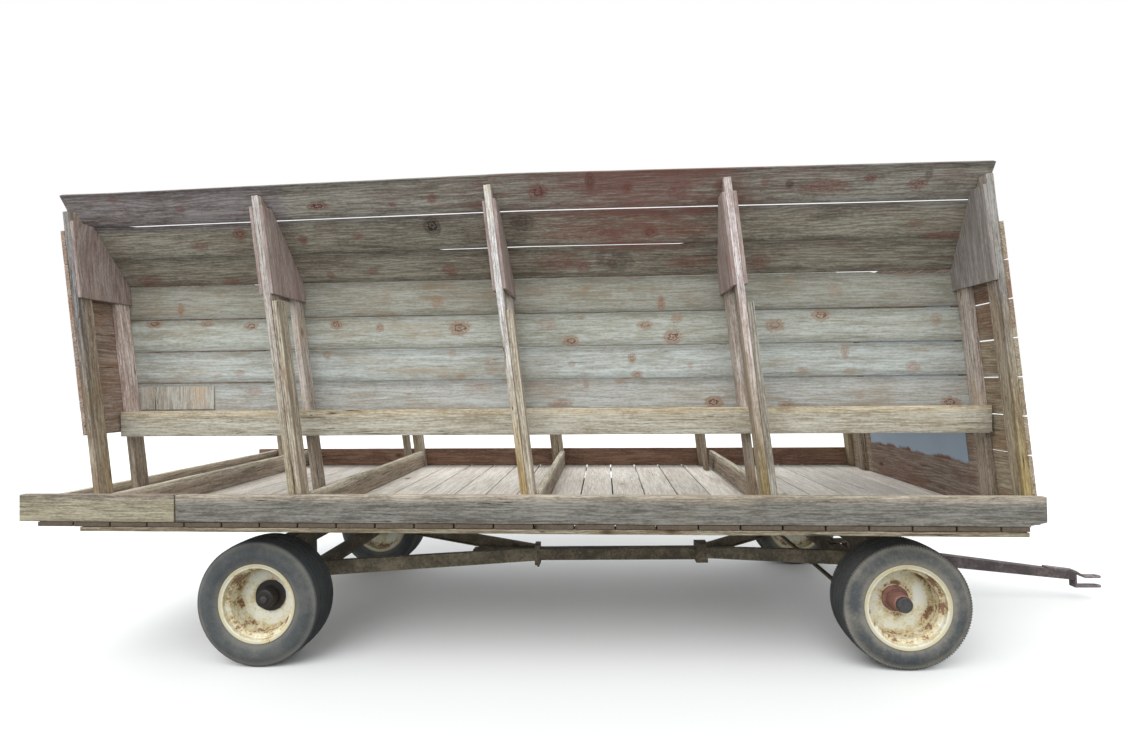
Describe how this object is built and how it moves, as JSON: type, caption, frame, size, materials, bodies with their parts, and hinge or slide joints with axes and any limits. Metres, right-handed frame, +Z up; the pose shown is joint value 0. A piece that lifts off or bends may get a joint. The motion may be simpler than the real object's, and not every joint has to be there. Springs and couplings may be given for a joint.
{
  "type": "feeder wagon",
  "caption": "Weathered wooden feeder wagon: flared open hopper with feeding gaps on a board deck, carried by a steel running gear with a steered front axle and a lifting tongue.",
  "frame": {"origin": "on the ground at the middle of the overall length and width", "axes": "+X forward along the tongue, +Y to the far side, +Z up"},
  "size_m": [6.4626, 2.134, 2.6811],
  "materials": {
    "wood_grey": "weathered, rough sawn",
    "wood_deck": "bleached, rough sawn",
    "wood_red": "weathered, with faded red paint",
    "wood_post": "weathered, rough sawn",
    "plywood": "weathered",
    "sheet_metal": "dull zinc with rust",
    "rusty_steel": "rusted, paint worn",
    "rim_paint": "dirty cream paint with rust",
    "tyre": "dusty"
  },
  "bodies": {
    "wagon": {"curb_near": "wood_grey", "curb_far": "wood_grey", "curb_rear": "wood_grey", "divider_planks": "wood_grey", "wall_boards_near": "wood_grey", "wall_boards_far": "wood_grey", "rear_end_wall": "wood_grey", "front_end_wall": "wood_grey", "feed_rails": "wood_grey", "sister_boards": "wood_grey", "edge_strips": "wood_grey", "deck_sills": "wood_grey", "bolster_blocks": "wood_grey", "deck_boards": "wood_deck", "flare_boards_near": "wood_red", "flare_boards_far": "wood_red", "gussets": "wood_red", "outer_posts": "wood_post", "inner_posts": "wood_post", "plywood_patch": "plywood", "metal_sheet": "sheet_metal", "bolster_rear": "rusty_steel", "bolster_front": "rusty_steel", "rear_axle": "rusty_steel", "front_axle": "rusty_steel", "rear_hounds": "rusty_steel", "front_hounds": "rusty_steel", "reach_pole": "rusty_steel", "reach_collar": "rusty_steel", "reach_clamp": "rusty_steel"},
    "bell": {"steering_bell": "rusty_steel"},
    "rod": {"tie_rod": "rusty_steel"},
    "steer_near": {"knuckle_near": "rusty_steel"},
    "steer_far": {"knuckle_far": "rusty_steel"},
    "drawbar": {"tongue": "rusty_steel", "hitch_straps": "rusty_steel"},
    "wheel_rear_near": {"tyre_rear_near": "tyre", "rim_rear_near": "rim_paint", "hub_rear_near": "rusty_steel"},
    "wheel_rear_far": {"tyre_rear_far": "tyre", "rim_rear_far": "rim_paint", "hub_rear_far": "rusty_steel"},
    "wheel_front_near": {"tyre_front_near": "tyre", "rim_front_near": "rim_paint", "hub_front_near": "rusty_steel"},
    "wheel_front_far": {"tyre_front_far": "tyre", "rim_front_far": "rim_paint", "hub_front_far": "rusty_steel"}
  },
  "joints": [
    {"name": "tongue_steer", "type": "hinge", "parent": "wagon", "child": "bell", "pos_m": [1.50833, 0, 0.35], "axis": [0, 0, 1], "range_deg": [-28, 28]},
    {"name": "knuckle_near_turn", "type": "hinge", "parent": "wagon", "child": "steer_near", "pos_m": [1.50833, -0.7, 0.35], "axis": [0, 0, 1], "range_deg": [-28, 28]},
    {"name": "knuckle_far_turn", "type": "hinge", "parent": "wagon", "child": "steer_far", "pos_m": [1.50833, 0.7, 0.35], "axis": [0, 0, 1], "range_deg": [-28, 28]},
    {"name": "tie_rod_turn", "type": "hinge", "parent": "bell", "child": "rod", "pos_m": [1.35833, 0, 0.28], "axis": [0, 0, 1], "range_deg": [-28, 28]},
    {"name": "tongue_lift", "type": "hinge", "parent": "bell", "child": "drawbar", "pos_m": [1.68333, 0, 0.34478], "axis": [0, -1, 0], "range_deg": [0, 38]},
    {"name": "spin_rear_near", "type": "hinge", "parent": "wagon", "child": "wheel_rear_near", "pos_m": [-1.97667, -0.845, 0.34978], "axis": [0, 1, 0], "continuous": true},
    {"name": "spin_rear_far", "type": "hinge", "parent": "wagon", "child": "wheel_rear_far", "pos_m": [-1.97667, 0.845, 0.34978], "axis": [0, 1, 0], "continuous": true},
    {"name": "spin_front_near", "type": "hinge", "parent": "steer_near", "child": "wheel_front_near", "pos_m": [1.50833, -0.845, 0.32978], "axis": [0, 1, 0], "continuous": true},
    {"name": "spin_front_far", "type": "hinge", "parent": "steer_far", "child": "wheel_front_far", "pos_m": [1.50833, 0.845, 0.32978], "axis": [0, 1, 0], "continuous": true}
  ],
  "couplings": [
    {"joint": "knuckle_near_turn", "follows": "tongue_steer", "ratio": 1},
    {"joint": "knuckle_far_turn", "follows": "tongue_steer", "ratio": 1},
    {"joint": "tie_rod_turn", "follows": "tongue_steer", "ratio": -1}
  ]
}
